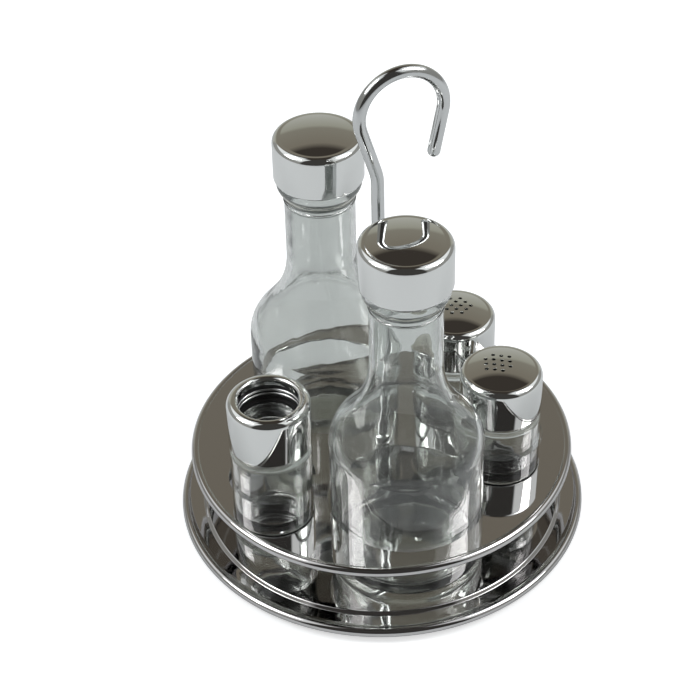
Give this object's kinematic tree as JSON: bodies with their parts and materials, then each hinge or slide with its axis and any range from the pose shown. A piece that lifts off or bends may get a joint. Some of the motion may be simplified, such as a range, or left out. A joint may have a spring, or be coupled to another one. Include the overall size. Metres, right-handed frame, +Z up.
{
  "type": "cruet set",
  "caption": "Steel cruet rack with a hook handle, holding glass oil and vinegar bottles, shakers and a toothpick jar that lift out and unscrew.",
  "frame": {"origin": "centre of the base pad's underside, on the table, on the axis of the round rack and its rod", "axes": "+Z up along the handle's upright rod, -Y towards the side seen in the picture, with the front bottle at -Y and the shakers at +X"},
  "size_m": [0.1606, 0.1606, 0.2011],
  "materials": {
    "mirror_steel": "mirror polished stainless sheet",
    "bright_rod": "polished round rod",
    "steel_hardware": "plain plated steel",
    "chrome_plate": "bright chrome plate",
    "clear_glass": "clear pressed soda glass",
    "black_plastic": "satin black",
    "white_plastic": "translucent white",
    "grey_plastic": "satin grey",
    "seal_foam": "soft black"
  },
  "bodies": {
    "rack": {"base_pad": "black_plastic", "lower_tray": "mirror_steel", "upper_plate": "mirror_steel", "hook_handle": "bright_rod", "spacer_tube": "steel_hardware", "round_nut": "steel_hardware", "lower_washer": "steel_hardware", "lower_nut": "steel_hardware"},
    "front_bottle": {"front_bottle_glass": "clear_glass", "front_bottle_pourer": "white_plastic"},
    "front_bottle_seal_ring": {"front_bottle_seal": "seal_foam"},
    "front_bottle_screw_cap": {"front_bottle_insert": "grey_plastic", "front_bottle_cap": "chrome_plate"},
    "rear_bottle": {"rear_bottle_glass": "clear_glass", "rear_bottle_pourer": "white_plastic"},
    "rear_bottle_seal_ring": {"rear_bottle_seal": "seal_foam"},
    "rear_bottle_screw_cap": {"rear_bottle_insert": "grey_plastic", "rear_bottle_cap": "chrome_plate"},
    "right_shaker": {"right_shaker_glass": "clear_glass"},
    "right_shaker_seal_ring": {"right_shaker_gasket": "seal_foam"},
    "right_shaker_screw_cap": {"right_shaker_insert": "grey_plastic", "right_shaker_cap": "chrome_plate"},
    "rear_shaker": {"rear_shaker_glass": "clear_glass"},
    "rear_shaker_seal_ring": {"rear_shaker_gasket": "seal_foam"},
    "rear_shaker_screw_cap": {"rear_shaker_insert": "grey_plastic", "rear_shaker_cap": "chrome_plate"},
    "toothpick_jar": {"toothpick_glass": "clear_glass"},
    "toothpick_seal_ring": {"toothpick_gasket": "seal_foam"},
    "toothpick_screw_cap": {"toothpick_insert": "grey_plastic", "toothpick_cap": "chrome_plate"}
  },
  "joints": [
    {"name": "front_bottle_lift", "type": "slide", "parent": "rack", "child": "front_bottle", "axis": [0, 0, 1], "range_m": [0, 0.06]},
    {"name": "front_bottle_cap_lift", "type": "slide", "parent": "front_bottle", "child": "front_bottle_seal_ring", "axis": [0, 0, 1], "range_m": [0, 0.03]},
    {"name": "front_bottle_cap_turn", "type": "hinge", "parent": "front_bottle_seal_ring", "child": "front_bottle_screw_cap", "pos_m": [0.00893, -0.03405, 0.06], "axis": [0, 0, 1], "continuous": true},
    {"name": "rear_bottle_lift", "type": "slide", "parent": "rack", "child": "rear_bottle", "axis": [0, 0, 1], "range_m": [0, 0.06]},
    {"name": "rear_bottle_cap_lift", "type": "slide", "parent": "rear_bottle", "child": "rear_bottle_seal_ring", "axis": [0, 0, 1], "range_m": [0, 0.03]},
    {"name": "rear_bottle_cap_turn", "type": "hinge", "parent": "rear_bottle_seal_ring", "child": "rear_bottle_screw_cap", "pos_m": [-0.0215, 0.03361, 0.06], "axis": [0, 0, 1], "continuous": true},
    {"name": "right_shaker_lift", "type": "slide", "parent": "rack", "child": "right_shaker", "axis": [0, 0, 1], "range_m": [0, 0.06]},
    {"name": "right_shaker_cap_lift", "type": "slide", "parent": "right_shaker", "child": "right_shaker_seal_ring", "axis": [0, 0, 1], "range_m": [0, 0.03]},
    {"name": "right_shaker_cap_turn", "type": "hinge", "parent": "right_shaker_seal_ring", "child": "right_shaker_screw_cap", "pos_m": [0.04688, 0.00123, 0.06], "axis": [0, 0, 1], "continuous": true},
    {"name": "rear_shaker_lift", "type": "slide", "parent": "rack", "child": "rear_shaker", "axis": [0, 0, 1], "range_m": [0, 0.06]},
    {"name": "rear_shaker_cap_lift", "type": "slide", "parent": "rear_shaker", "child": "rear_shaker_seal_ring", "axis": [0, 0, 1], "range_m": [0, 0.03]},
    {"name": "rear_shaker_cap_turn", "type": "hinge", "parent": "rear_shaker_seal_ring", "child": "rear_shaker_screw_cap", "pos_m": [0.03092, 0.03737, 0.06], "axis": [0, 0, 1], "continuous": true},
    {"name": "toothpick_lift", "type": "slide", "parent": "rack", "child": "toothpick_jar", "axis": [0, 0, 1], "range_m": [0, 0.06]},
    {"name": "toothpick_cap_lift", "type": "slide", "parent": "toothpick_jar", "child": "toothpick_seal_ring", "axis": [0, 0, 1], "range_m": [0, 0.03]},
    {"name": "toothpick_cap_turn", "type": "hinge", "parent": "toothpick_seal_ring", "child": "toothpick_screw_cap", "pos_m": [-0.04276, -0.02021, 0.06], "axis": [0, 0, 1], "continuous": true}
  ]
}
